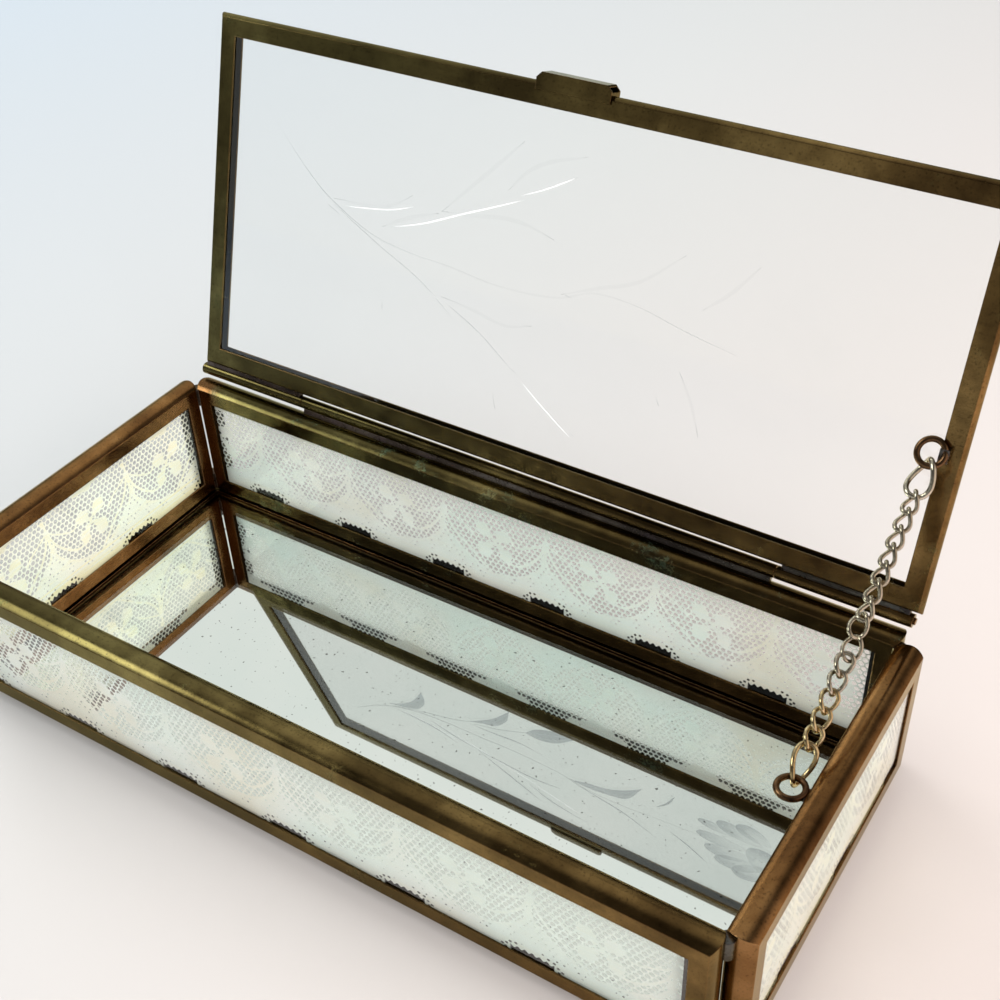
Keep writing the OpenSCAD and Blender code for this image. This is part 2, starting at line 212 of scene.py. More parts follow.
def mirrorSilver():
    mat, t = newMaterial("mirrorSilver")
    at = put(t, "TexCoord").outputs["Object"]
    dust = ramp(t, noiseAt(t, at, 1150, 1, 0.5), [(0.255, (0.15, 0.15, 0.14)), (0.29, (0.86, 0.9, 0.89))])
    haze = ramp(t, noiseAt(t, at, 30, 4, 0.6), [(0.35, (0.93, 0.96, 0.96)), (0.7, (1, 1, 1))])
    color = mixColor(t, 1.0, dust, haze, "MULTIPLY")
    shader = put(t, "BsdfPrincipled", {"Base Color": color, "Metallic": 1.0, "Roughness": 0.015})
    put(t, "OutputMaterial", {"Surface": shader.outputs[0]})
    return mat


def laceThread(name, net, solid):
    mat, t = newMaterial(name)
    at = put(t, "TexCoord").outputs["Object"]
    weave = noiseAt(t, at, 2600, 2, 0.5)
    thick = put(t, "Attribute", attribute_name="solid").outputs["Fac"]
    tone = mixColor(t, thick, net, solid)
    grey = ramp(t, noiseAt(t, at, 90, 2), [(0.35, (0.95, 0.95, 0.94)), (0.65, (1, 1, 1))])
    tone = mixColor(t, 1.0, tone, grey, "MULTIPLY")
    # old lace: tan in places, cooler and greener in others
    patchTint = ramp(t, noiseAt(t, at, 22, 3),
                [(0.38, (1, 0.94, 0.86)), (0.5, (1, 1, 1)), (0.62, (0.93, 1, 0.99))])
    tone = mixColor(t, 1.0, tone, patchTint, "MULTIPLY")
    bump = put(t, "Bump", {"Strength": 0.5, "Distance": 0.0001, "Height": weave}).outputs[0]
    front = put(t, "BsdfDiffuse", {"Color": tone, "Normal": bump})
    back = put(t, "BsdfTranslucent", {"Color": tone})
    both = put(t, "MixShader", {0: 0.5, 1: front.outputs[0], 2: back.outputs[0]})
    # painted light: the lace glows a little inside the top channel, standing in for light that the panes'
    # edges carry there
    z = put(t, "SeparateXYZ", {"Vector": at}).outputs[2]
    glowInChannel = between(t, z, 0.0305, 0.034, high=0.42)
    paintedGlow = put(t, "Emission", {"Color": tone, "Strength": glowInChannel})
    lit = put(t, "AddShader", {0: both.outputs[0], 1: paintedGlow.outputs[0]})
    put(t, "OutputMaterial", {"Surface": lit.outputs[0]})
    return mat


def groundGlass(name, faceOn, edgeOn, color, seen):
    # cut glass: how much it hides depends on how steeply it is seen
    mat, t = newMaterial(name)
    at = put(t, "TexCoord").outputs["Object"]
    grain = noiseAt(t, at, 900, 3, 0.6)
    facing = put(t, "LayerWeight", {"Blend": 0.5}).outputs["Facing"]
    low, high = seen
    steep = ramp(t, facing, [(low, (faceOn,) * 3), (high, (edgeOn,) * 3)])
    hide = math2(t, "MULTIPLY", steep, ramp(t, grain, [(0.3, (0.75,) * 3), (0.7, (1, 1, 1))]), clamp=True)
    hide = math2(t, "MULTIPLY", hide, put(t, "Attribute", attribute_name="cut").outputs["Fac"])
    matte = put(t, "BsdfDiffuse", {"Color": (*color, 1)})
    through = put(t, "BsdfTransparent", {"Color": (0.996, 0.997, 0.997, 1)})
    both = put(t, "MixShader", {0: hide, 1: through.outputs[0], 2: matte.outputs[0]})
    put(t, "OutputMaterial", {"Surface": both.outputs[0]})
    return mat


brass = agedMetal("agedBrass", (0.042, 0.033, 0.013), (0.092, 0.075, 0.028), (0.21, 0.18, 0.07),
                  (0.08, 0.11, 0.05), 0.6, 0.18, 0.2)
backBrass = agedMetal("greenedBrass", (0.045, 0.036, 0.013), (0.1, 0.085, 0.032), (0.24, 0.21, 0.085),
                      (0.09, 0.22, 0.17), 0.56, 0.18, 0.2, leftEnd=(0.17, 0.085, 0.034))
copper = agedMetal("coppery", (0.13, 0.06, 0.022), (0.29, 0.145, 0.052), (0.5, 0.28, 0.115),
                   (0.16, 0.13, 0.08), 0.66, 0.2, 0.2, (0.62, 0.38, 0.19), (0.72, 0.7, 0.7),
                   atFoot=(0.9, 0.88, 0.85))
darkCopper = agedMetal("darkCopper", (0.05, 0.025, 0.013), (0.11, 0.058, 0.03), (0.22, 0.13, 0.065),
                       (0.1, 0.08, 0.05), 0.64, 0.2, 0.15, rightSide=(1, 1, 1))
solder = agedMetal("solderGrey", (0.036, 0.026, 0.022), (0.085, 0.065, 0.056), (0.19, 0.16, 0.145),
                   (0.14, 0.1, 0.12), 0.55, 0.28, rim=(0.2, 0.16, 0.16), rightSide=(0.8, 0.95, 1))
steel = agedMetal("chainSteel", (0.3, 0.265, 0.205), (0.46, 0.41, 0.33), (0.64, 0.59, 0.5),
                  (0.3, 0.24, 0.17), 0.66, 0.09, 0.05, (0.6, 0.55, 0.45), (1, 1, 1))
goldSteel = agedMetal("chainGold", (0.34, 0.24, 0.11), (0.52, 0.39, 0.21), (0.72, 0.6, 0.38),
                      (0.34, 0.22, 0.1), 0.66, 0.09, 0.05, (0.62, 0.48, 0.28), (1, 1, 1))
# painted shade: a near-black metal for the sheets that stand in for the shade inside the channels
paintedShade = agedMetal("channelShade", (0.012, 0.009, 0.006), (0.02, 0.014, 0.009), (0.035, 0.025, 0.015),
                 (0.03, 0.03, 0.02), 0.7, 0.5, rightSide=(1, 1, 1), rim=(0.02, 0.014, 0.009))
wallGlass = thinGlass("wallGlass", (0.955, 0.955, 0.945), 0.12, bend=True)
lidGlass = thinGlass("lidGlass", (0.99, 0.996, 0.995), 0.05)
silver = mirrorSilver()
whiteLace = laceThread("whiteLace", (0.87, 0.9, 0.84), (0.9, 0.9, 0.8))
# painted light: the side walls' lace is the same lace painted cream, for the warm light that falls on the
# side walls
warmLitLace = laceThread("warmLitLace", (0.95, 0.94, 0.8), (0.99, 0.91, 0.58))

paint = {"hinge_pin": copper, "lid_eye": darkCopper, "base_eye": darkCopper, "left_frame": copper,
         "right_frame": copper, "back_frame": backBrass}
for name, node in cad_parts.items():
    if name in paint:
        mat = paint[name]
    elif "glass" in name:
        mat = lidGlass if name == "lid_glass" else wallGlass
    elif "solder" in name:
        mat = solder
    elif "link" in name:
        mat = steel
    elif "lace" in name:
        mat = whiteLace
    elif name == "floor_mirror":
        mat = silver
    else:
        mat = brass
    node.data.materials.clear()
    node.data.materials.append(mat)
    if "link" in name or "eye" in name or "tube" in name or "pin" in name:
        node.data.polygons.foreach_set("use_smooth", [True] * len(node.data.polygons))
print("materials on", len(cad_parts), "nodes")


def makeObject(name, verts, faces, mat, body, smooth=False):
    mesh = bpy.data.meshes.new(name)
    mesh.from_pydata([tuple(v) for v in verts], [], faces)
    mesh.update()
    obj = bpy.data.objects.new(name, mesh)
    bpy.context.scene.collection.objects.link(obj)
    mesh.materials.append(mat)
    if smooth:
        mesh.polygons.foreach_set("use_smooth", [True] * len(mesh.polygons))
    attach(obj, body)
    return obj


# the silver shows about 0.7 mm under the top face, as seen through the glass
mirror = dict(halfL=98.2, halfD=43.0, low=0.45, silver=1.7, top=2.4)
around = ((-1, -1), (1, -1), (1, 1), (-1, 1))   # the four corners in turn


def slab(halfL, halfD, low, high):
    v = [(sx * halfL * mm, sy * halfD * mm, z * mm) for z in (low, high) for sx, sy in around]
    f = [(0, 3, 2, 1), (4, 5, 6, 7)] + [(i, (i + 1) % 4, (i + 1) % 4 + 4, i + 4) for i in range(4)]
    return v, f


v, f = slab(mirror["halfL"], mirror["halfD"], mirror["low"], mirror["silver"])
mirrorPlate = makeObject("mirrorPlate", v, f, silver, "box")
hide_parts("floor_mirror")
v = [(sx * mirror["halfL"] * mm, sy * mirror["halfD"] * mm, mirror["top"] * mm) for sx, sy in around]
mirrorTop = makeObject("mirrorTop", v, [(0, 1, 2, 3)], lidGlass, "box")
print("mirror laid")

# the lace is cut out of a field on a grid: a place is thread where the field is positive; all in mm
lace = dict(repeat=28.0, step=0.21875, pitch=28 / 19, thread=0.36, low=3.4, high=37.0, vine=1.4, hem=8.5,
            hemWave=0.3, hemWaves=9, gapHalf=4.6, gapTop=7.2, ragged=0.35, dash=(0.5, 0.24),
            dashMiddles=(10.3, 18.2), dashGap=1.15, dashLean=0.5, dashTop=8.9, dashRow=0.75, dot=0.36,
            stem=0.33, groups=7, closer=0.3, closest=0.5)


def smoothLine(points, n=8):
    # a smooth curve through the points
    p = np.array(points, float)
    p = np.vstack([2 * p[0] - p[1], p, 2 * p[-1] - p[-2]])
    out = []
    for i in range(1, len(p) - 2):
        for k in range(n):
            s = k / n
            out.append(0.5 * ((2 * p[i]) + (p[i + 1] - p[i - 1]) * s
                              + (2 * p[i - 1] - 5 * p[i] + 4 * p[i + 1] - p[i + 2]) * s * s
                              + (3 * p[i] - p[i - 1] - 3 * p[i + 1] + p[i + 2]) * s ** 3))
    out.append(p[-2])
    return np.array(out)


def lineDistance(gx, gz, line):
    best = np.full(gx.shape, 99.0)
    for a, b in zip(line[:-1], line[1:]):
        d = b - a
        t = np.clip(((gx - a[0]) * d[0] + (gz - a[1]) * d[1]) / (d @ d + 1e-9), 0, 1)
        best = np.minimum(best, np.hypot(gx - a[0] - t * d[0], gz - a[1] - t * d[1]))
    return best


def holeGrid(gx, gz, pitch, radius):
    # distance outside the nearest hole, between round and six-sided, of a close-packed grid
    row = pitch * math.sqrt(3) / 2
    best = np.full(gx.shape, 99.0)
    base = np.floor(gz / row)
    for k in (0, 1):
        r = base + k
        off = np.where(r % 2 == 0, 0, pitch / 2)
        dx = gx - np.round((gx - off) / pitch) * pitch - off
        dz = gz - r * row
        six = np.maximum(abs(dx), abs(dx) / 2 + abs(dz) * math.sqrt(3) / 2)
        best = np.minimum(best, 0.55 * six + 0.45 * np.hypot(dx, dz))
    return best - radius


# one repeat of the pattern: x runs from stem to stem, z is the height over the table, in mm
vines = [
    dict(w=0.5, pts=[(0.3, 25.4), (0.9, 23), (1.7, 21), (3.2, 18.8), (5.5, 16.4), (8, 14.9), (10.4, 14.9)]),
    dict(w=0.36, pts=[(0.3, 25.4), (2.6, 23.4), (5.2, 21.9), (7.9, 20.9), (9.6, 22.2)]),
    dict(w=0.62, pts=[(0.2, 22), (0.5, 19.9), (1.2, 17.6), (3.2, 14.8), (6.2, 12.3), (9.6, 10.7),
                      (13.6, 9.8)]),
    dict(w=0.36, pts=[(28, 25.4), (27.3, 25), (24.4, 23.4), (21.8, 21.9), (20.2, 20.2)]),
    dict(w=0.5, pts=[(28, 25.6), (27.4, 23.5), (26.4, 21), (24.2, 18), (21.2, 15.6), (18.3, 12.7),
                     (15.1, 9.8)]),
    dict(w=0.55, pts=[(28.2, 22), (28.1, 20), (26.8, 17), (22.6, 13.6), (20.2, 12), (17, 10), (14.6, 9.1)])]
# ovals as middle x, z and half width, half height; the last ones hang in from above
petals = [(17.2, 23.1, 1.95, 1.9), (11.5, 22.6, 2.15, 1.85), (16.9, 16.7, 1.95, 2.35),
          (11.1, 16.8, 1.6, 2.05), (13.8, 20.1, 1.3, 1.1), (12.6, 21.3, 0.8, 0.8), (15.4, 21.5, 0.9, 0.8),
          (15.3, 18.6, 0.8, 0.9), (12.4, 18.6, 0.8, 0.9), (14.4, 9.1, 2.3, 0.9), (11.6, 8.7, 1.4, 0.7),
          (14, 32.2, 5.4, 3.2), (20, 33, 3, 1.8), (8, 33, 2.4, 1.6)]
stemLeaves = [(0.4, 10.1, 3.7, 1.35), (2.4, 11.7, 1.05, 1.8), (7.3, 10.0, 0.8, 1.5), (-2.6, 10.6, 1.1, 1.4),
              (5.0, 9.0, 2.6, 0.9), (0.9, 20.2, 0.5, 1.2), (-0.5, 28.6, 0.7, 0.8), (0.0, 26.0, 0.5, 0.9)]
netEdge = [(0, 19), (1.0, 17.4), (3.2, 14.4), (6.2, 12), (9.6, 10.4), (13.2, 9.6), (16.1, 9.8), (18.4, 11),
           (20.5, 12.8), (23.1, 15), (25.5, 17), (28, 19)]   # where the open net ends over the hem
flowerDots = [(13.0, 20.1), (14.7, 20.1)]   # holes in the flower's middle
gapDots = [(5.4, 6.9), (6.3, 6.2), (5.6, 5.6), (6.6, 5.0), (4.6, 7.9), (3.4, 8.2)]   # beside the gap


def laceField(gx, gz):
    r = lace["repeat"]
    atStem = (gx + r / 2) % r - r / 2        # -14..14 round the stem
    along = gx % r                           # 0..28 from stem to stem
    full = (lace["pitch"] - lace["thread"]) / 2
    below = np.interp(along, [p[0] for p in netEdge], [p[1] for p in netEdge]) - gz
    # the ground is closer under the long swags, with small holes in groups
    group = np.cos(2 * np.pi * along / r * lace["groups"]) * np.cos(gz * 1.1)
    close = np.clip(below * 1.5, 0, 1) * np.where(group > -0.15, lace["closer"], lace["closest"])
    f = holeGrid(gx, gz, lace["pitch"], full) + close
    solid = np.full(gx.shape, -9.0)
    for v in vines:
        line = smoothLine(v["pts"])
        half = v["w"] / 2 * lace["vine"]
        away = np.minimum(lineDistance(along, gz, line), lineDistance(along - r, gz, line))
        solid = np.maximum(solid, half - away)
        if v["pts"][0][0] < 1:
            solid = np.maximum(solid, half - lineDistance(along, gz, line + np.array([r, 0])))
    stem = smoothLine([(0, 28), (0, 25), (0.2, 22)])
    solid = np.maximum(solid, lace["stem"] - lineDistance(atStem, gz, stem))
    for where, ovals in ((along, petals), (atStem, stemLeaves)):
        for x, z, a, b in ovals:
            wave = 1 + 0.07 * np.sin(5 * np.arctan2(gz - z, where - x) + x)
            solid = np.maximum(solid, (wave - np.hypot((where - x) / a, (gz - z) / b)) * min(a, b))
    hem = lace["hem"] + lace["hemWave"] * np.cos(2 * np.pi * gx / (r / lace["hemWaves"]))
    solid = np.maximum(solid, hem - gz)
    # open dashes in the hem, two groups between the gaps
    dashL, dashH = lace["dash"]
    for middle in lace["dashMiddles"]:
        for row in range(3):
            for k in (-1, 0, 1):
                x = middle + lace["dashGap"] * k + lace["dashLean"] * row - lace["dashLean"]
                z = lace["dashTop"] - lace["dashRow"] * row
                solid = np.minimum(solid, (np.hypot((along - x) / dashL, (gz - z) / dashH) - 1) * dashH)
    for x, z in flowerDots:
        solid = np.minimum(solid, np.hypot(along - x, gz - z) - lace["dot"])
    f = np.maximum(f, solid)
    # the open gap under each stem, ragged at its top, with small holes at its ends
    gap = np.maximum(np.abs(atStem) - lace["gapHalf"],
                     gz - lace["gapTop"] - lace["ragged"] * np.cos(atStem * 4.1) + 0.02 * atStem * atStem)
    f = np.minimum(f, gap)
    for side in (-1, 1):
        for x, z in gapDots:
            f = np.minimum(f, np.hypot(atStem - side * x, gz - z) - lace["dot"])
    return f, solid


def fieldFaces(f, x0, steps, z0):
    # outlines the places where the field is positive, cell by cell
    nz, nx = f.shape
    stepX, stepZ = steps
    inside = f > 0
    ids = np.arange(nz * nx).reshape(nz, nx)
    hor = nz * nx + np.arange(nz * (nx - 1)).reshape(nz, nx - 1)
    ver = nz * nx + nz * (nx - 1) + np.arange((nz - 1) * nx).reshape(nz - 1, nx)
    gx, gz = np.meshgrid(x0 + np.arange(nx) * stepX, z0 + np.arange(nz) * stepZ)

    def crossing(a, b):
        gap = np.where(a == b, 1, a - b)
        return np.clip(a / gap, 0.03, 0.97)

    hx = gx[:, :-1] + crossing(f[:, :-1], f[:, 1:]) * stepX
    vz = gz[:-1] + crossing(f[:-1], f[1:]) * stepZ
    allX = np.concatenate([gx.ravel(), hx.ravel(), gx[:-1].ravel()])
    allZ = np.concatenate([gz.ravel(), gz[:, :-1].ravel(), vz.ravel()])
    corner = [ids[:-1, :-1], ids[:-1, 1:], ids[1:, 1:], ids[1:, :-1]]
    into = [inside[:-1, :-1], inside[:-1, 1:], inside[1:, 1:], inside[1:, :-1]]
    side = [hor[:-1], ver[:, 1:], hor[1:], ver[:, :-1]]
    case = sum(w.astype(int) << k for k, w in enumerate(into))
    rings = []
    for c in range(1, 15):
        ring = []
        for k in range(4):
            if c >> k & 1:
                ring.append(corner[k])
            if (c >> k & 1) != (c >> (k + 1) % 4 & 1):
                ring.append(side[k])
        rings.append(np.stack([g[case == c] for g in ring], 1))
    # full cells are joined along each row
    full = np.pad((case == 15).astype(int), ((0, 0), (1, 1)))
    row, a = np.nonzero(np.diff(full, axis=1) == 1)
    _, b = np.nonzero(np.diff(full, axis=1) == -1)
    rings.append(np.stack([ids[row, a], ids[row, b], ids[row + 1, b], ids[row + 1, a]], 1))
    used = np.unique(np.concatenate([r.ravel() for r in rings]))
    renumber = np.zeros(len(allX), int)
    renumber[used] = np.arange(len(used))
    return allX[used], allZ[used], [renumber[r] for r in rings if len(r)]


def ringMesh(name, co, rings):
    mesh = bpy.data.meshes.new(name)
    sizes = np.concatenate([np.full(len(r), r.shape[1]) for r in rings])
    loops = np.concatenate([r.ravel() for r in rings])
    mesh.vertices.add(len(co))
    mesh.vertices.foreach_set("co", co.ravel())
    mesh.loops.add(len(loops))
    mesh.polygons.add(len(sizes))
    mesh.polygons.foreach_set("loop_start", np.concatenate([[0], np.cumsum(sizes)[:-1]]).astype(np.int32))
    mesh.polygons.foreach_set("vertices", loops.astype(np.int32))
    mesh.update(calc_edges=True)
    return mesh


repeatCells = round(lace["repeat"] / lace["step"])
cellRows = int((lace["high"] - lace["low"]) / lace["step"]) + 1
gx, gz = np.meshgrid(np.arange(repeatCells) * lace["step"], lace["low"] + np.arange(cellRows) * lace["step"])
oneRepeat, oneSolid = laceField(gx, gz)


def hangLace(side, length, repeat, phase, turn, lift, place, mat):
    step = repeat / repeatCells
    first = math.floor((-length / 2 - phase) / step)
    count = round(length / step)
    cells = np.arange(first, first + count + 1) * turn % repeatCells
    rows = np.clip(np.arange(len(oneRepeat)) - round(lift / lace["step"]), 0, len(oneRepeat) - 1)
    steps = (step, lace["step"])
    px, pz, rings = fieldFaces(oneRepeat[rows][:, cells], phase + first * step, steps, lace["low"])
    area = sum(0.5 * np.abs((px[r] * np.roll(pz[r], -1, 1) - pz[r] * np.roll(px[r], -1, 1)).sum(1)).sum()
               for r in rings)
    mesh = ringMesh("lace_" + side, place(px * mm, pz * mm), rings)
    mesh.materials.append(mat)
    # how far inside a solid part each point lies, for the thread's look
    col = np.clip(np.round((px - phase) / step).astype(int) - first, 0, count)
    row = np.clip(np.round((pz - lace["low"]) / lace["step"]).astype(int), 0, len(oneSolid) - 1)
    solid = np.clip(oneSolid[rows[row], cells[col]] * 3, 0, 1)
    mesh.attributes.new("solid", "FLOAT", "POINT").data.foreach_set("value", solid.astype(np.float32))
    obj = bpy.data.objects.new(mesh.name, mesh)
    bpy.context.scene.collection.objects.link(obj)
    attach(obj, "box")
    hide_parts(side + "_lace")
    height = (lace["high"] - lace["low"]) * mm
    share = area * mm * mm / (height * length * mm)
    print("lace", side, len(mesh.polygons), "faces", round(share, 3), "solid")


def alongX(y):
    return lambda a, z: np.stack([a, np.full_like(a, y * mm), z], 1)


def alongY(x):
    return lambda a, z: np.stack([np.full_like(a, x * mm), a, z], 1)


# how long one repeat comes out on each wall, where it starts, how high it sits, and -1 where it runs back
sheets = dict(front=dict(length=190.4, repeat=30.0, phase=-1.5, turn=-1, lift=0.2),
              back=dict(length=190.4, repeat=29.05, phase=10.2, turn=-1, lift=1.1),
              left=dict(length=79.8, repeat=27.4, phase=12.2, turn=1, lift=0.7),
              right=dict(length=79.8, repeat=27.4, phase=8.0, turn=1, lift=0.7))
hangLace("front", place=alongX(-box["wallY"]), mat=whiteLace, **sheets["front"])
hangLace("back", place=alongX(box["wallY"]), mat=whiteLace, **sheets["back"])
hangLace("left", place=alongY(-box["wallX"]), mat=warmLitLace, **sheets["left"])
hangLace("right", place=alongY(box["wallX"]), mat=warmLitLace, **sheets["right"])

# curb links: every ring of round wire is twisted about the chain's own line
chain = dict(slope=math.radians(34.9818), x=91.5, nearer=0.7, steps=44, around=12,
             small=dict(length=5.7, width=4.4, wire=0.92),
             wideOval=dict(length=9.3, width=6.8, wire=1.15),
             narrowOval=dict(length=9.4, width=6.0, wire=1.05),
             atSplit=dict(length=5.86, width=4.2, wire=0.8),
             turn=42, sway=3, swayStep=2.1, splitTurn=6, splitAway=0.43, goldAfter=11)


def twistedRing(name, size, low, high, mat, away=0.0):
    # low and high are the ring's turn at its lower and upper end, in degrees; 0 lies flat to the front
    co = np.array([v.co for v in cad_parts[name].data.vertices])
    middle = (co.min(0) + co.max(0)) / 2
    c, sn = math.cos(chain["slope"]), math.sin(chain["slope"])
    side, along, across = np.array([1, 0, 0]), np.array([0, c, sn]), np.array([0, -sn, c])
    if away:
        # the two links at the split lie side by side, but closer to the chain's line than in the CAD
        middle = middle + across * away * mm
        middle[0] = middle[0] * (1 - chain["nearer"]) + chain["nearer"] * chain["x"] * mm
    longHalf, wideHalf = (size["length"] - size["wire"]) / 2, (size["width"] - size["wire"]) / 2
    t = np.linspace(0, 2 * np.pi, chain["steps"], endpoint=False)
    run = longHalf * np.sign(np.cos(t)) * np.abs(np.cos(t)) ** 0.9
    out = wideHalf * np.sign(np.sin(t)) * np.abs(np.sin(t)) ** 0.9
    turn = np.radians(low + (high - low) * (run / longHalf + 1) / 2)
    line = middle + mm * (run[:, None] * along + (out * np.cos(turn))[:, None] * side
                          + (out * np.sin(turn))[:, None] * across)
    tangent = np.roll(line, -1, 0) - np.roll(line, 1, 0)
    tangent /= np.linalg.norm(tangent, axis=1)[:, None]
    up = np.cos(turn)[:, None] * across - np.sin(turn)[:, None] * side
    up -= (up * tangent).sum(1)[:, None] * tangent
    up /= np.linalg.norm(up, axis=1)[:, None]
    flat = np.cross(tangent, up)
    n, m = chain["around"], chain["steps"]
    a = np.linspace(0, 2 * np.pi, n, endpoint=False)[None, :, None]
    verts = line[:, None] + size["wire"] / 2 * mm * (np.cos(a) * up[:, None] + np.sin(a) * flat[:, None])
    faces = [(i * n + k, (i + 1) % m * n + k, (i + 1) % m * n + (k + 1) % n, i * n + (k + 1) % n)
             for i in range(m) for k in range(n)]
    obj = makeObject("curb_" + name, verts.reshape(-1, 3).tolist(), faces, mat, name, smooth=True)
    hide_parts(name)


twistedRing("oval_link_upper", chain["wideOval"], 0, 66, steel)
twistedRing("oval_link_lower", chain["narrowOval"], -90, -20, goldSteel)
for i in range(1, 15):
    # the lower half turns the other way; links 8 and 9 are the two at the split
    half, atSplit = 1 if i < 9 else -1, i in (8, 9)
    turn = half * chain["turn"] + chain["sway"] * math.sin(chain["swayStep"] * i)
    if atSplit:
        turn = half * chain["splitTurn"]
    twistedRing("chain_link_%d" % i, chain["atSplit" if atSplit else "small"], turn - 45, turn + 45,
                goldSteel if i > chain["goldAfter"] else steel, half * chain["splitAway"] if atSplit else 0.0)
print("chain twisted")

# a dark line where the walls stand on the mirror, with a fine bead over it in brighter copper as a painted
# highlight along the floor's edge
foot = dict(x=94.96, y=39.71, low=1.72, mid=2.5, high=2.86, bead=0.07)


def ringBand(name, x, y, low, high, proud, mat):
    pts = []
    for z, p in ((low, proud), (high, proud)):
        pts += [(sx * (x - p) * mm, sy * (y - p) * mm, z * mm) for sx, sy in around]
    faces = [(k, (k + 1) % 4, (k + 1) % 4 + 4, k + 4) for k in range(4)]
    back = [(q[0] * 1.002, q[1] * 1.005, q[2]) for q in pts]
    faces += [(k + 8, k + 12, (k + 1) % 4 + 12, (k + 1) % 4 + 8) for k in range(4)]
    faces += [(k + 4, (k + 1) % 4 + 4, (k + 1) % 4 + 12, k + 12) for k in range(4)]
    obj = makeObject(name, pts + back, faces, mat, "box")


ringBand("footLine", foot["x"], foot["y"], foot["low"], foot["mid"], 0.02, darkCopper)
# painted highlight: the brighter copper makes this band the fine bright line along the floor's edge
ringBand("footHighlight", foot["x"], foot["y"], foot["mid"], foot["high"], foot["bead"], copper)
print("foot of the walls done")

# painted shade: near-black sheets on the channels' inner faces stand in for the shade deep in the channels,
# which shows through the lace along every edge
channel = dict(out=2.56, face=3.9, low=3.75, high=36.65, end=0.95)


def channelRing(name, halfLength, middle, lengthwise):
    verts, faces = [], []
    for sign in (-1, 1):
        n = middle + sign * channel["out"]
        for inset in (0, channel["face"]):
            half, low, high = halfLength - inset, channel["low"] + inset, channel["high"] - inset
            for a, z in ((-half, low), (half, low), (half, high), (-half, high)):
                verts.append((a * mm, n * mm, z * mm) if lengthwise else (n * mm, a * mm, z * mm))
    for base in (0, 8):
        faces += [(base + k, base + (k + 1) % 4, base + (k + 1) % 4 + 4, base + k + 4) for k in range(4)]
    obj = makeObject(name, verts, faces, paintedShade, "box")


channelRing("channelFront", box["innerL"] / 2 - channel["end"], -box["wallY"], True)
channelRing("channelBack", box["innerL"] / 2 - channel["end"], box["wallY"], True)
channelRing("channelLeft", box["innerD"] / 2 - channel["end"], -box["wallX"], False)
channelRing("channelRight", box["innerD"] / 2 - channel["end"], box["wallX"], False)
print("channels blackened")

# wheel-cut spray under the lid's glass: points are x along the lid and height from the hinge, in mm
cutGrey = groundGlass("cutGrey", 0.0, 0.8, (0.27, 0.29, 0.29), (0.33, 0.55))
cutLine = groundGlass("cutLine", 0.035, 0.85, (0.24, 0.26, 0.26), (0.28, 0.55))
# painted highlight: white strokes, seen mostly head on, stand in for the light that the cut facets catch
cutGlint = groundGlass("cutGlint", 1.0, 0.1, (1.0, 1.0, 1.0), (0.3, 0.5))
# n is the height of the glass face over the hinge's plane
spray = dict(n=-1.22, grooveDeep=0.08, leafDeep=0.1, petalDeep=0.12, petalSteps=32)
leafCuts = [
    dict(side=[(-61.5, 50.7), (-54.7, 48.2), (-48.1, 43.8), (-43.8, 36.2), (-43.3, 29.6)],
         other=[(-55.8, 46.4), (-49.5, 39.9)]),
    dict(side=[(-28.5, 36.1), (-22.6, 32.6), (-17.1, 29.8), (-11.6, 22.6), (-8.9, 14.4)],
         other=[(-22.1, 30.4), (-15.7, 23.7)]),
    dict(side=[(4.9, 45.5), (12.2, 45.5), (19.1, 43.5), (25, 40.1), (31.5, 27.3)],
         other=[(11.7, 42), (18.6, 39.4), (25.9, 33.6)]),
    dict(side=[(-6, 24.9), (-0.4, 18.2), (8.2, 13.4), (12.2, 14.3)], other=[(-0.7, 25.3), (5.5, 21.8)])]
grooves = [
    dict(w=0.5, pts=[(-80, 68), (-68.6, 57.6), (-60.8, 52.1), (-49, 46.8), (-37.9, 44.8), (-25.5, 44.2),
                     (-12.8, 43.1), (2.4, 44.2), (11.8, 47.6), (22.9, 47.3), (33.9, 45.1), (46.6, 43.1)]),
    dict(w=0.45, pts=[(-60.6, 51.5), (-46.2, 44.6), (-35.6, 40.1), (-28.5, 36.3)]),
    dict(w=0.9, pts=[(-60.1, 52.5), (-50.8, 53), (-43.7, 54.3), (-37.8, 58.1)]),
    dict(w=0.9, pts=[(-45.4, 49.1), (-38, 52.9), (-30.3, 55.6)]),
    dict(w=0.8, pts=[(-27.2, 36.8), (-18.5, 36), (-9.5, 34.6), (-2.4, 36.3)]),
    dict(w=1.0, pts=[(-29.5, 56.3), (-21.9, 57), (-13.6, 58.4), (-7.1, 58.3), (0.1, 56.6)]),
    dict(w=1.0, pts=[(-29.5, 56.3), (-22.4, 63.4), (-16.1, 69.8), (-10.4, 75.9)]),
    dict(w=1.0, pts=[(-12.9, 64.8), (-8.4, 69.8), (-3, 73), (5.4, 75.7)]),
    dict(w=0.9, pts=[(3.8, 45.3), (12.7, 49), (22.1, 52.8), (31.5, 60.8)]),
    dict(w=0.9, pts=[(37.3, 50.5), (42.8, 55.5), (48, 62.3)]),
    dict(w=0.7, pts=[(34.7, 36.2), (38.8, 30), (41.8, 23)]),
    dict(w=0.4, pts=[(-25.9, 35.8), (-15.9, 31.1), (-6, 24.9)])]
# strokes painted white as the glints of the cut facets
glintCuts = [
    dict(w=0.32, pts=[(-57.2, 51.4), (-49.9, 52.4), (-42.8, 53.7), (-36, 56)]),
    dict(w=0.42, pts=[(-43.8, 49.3), (-34.2, 52.4), (-25.1, 56.4), (-16.2, 60.2), (-7.7, 63.9)]),
    dict(w=0.32, pts=[(-10.3, 63.9), (-4.3, 66.6), (0.3, 69.1), (3.7, 71.1)]),
    dict(w=0.32, pts=[(-2.5, 22.5), (2, 19.5), (6.4, 16.7), (11.1, 13.8)])]
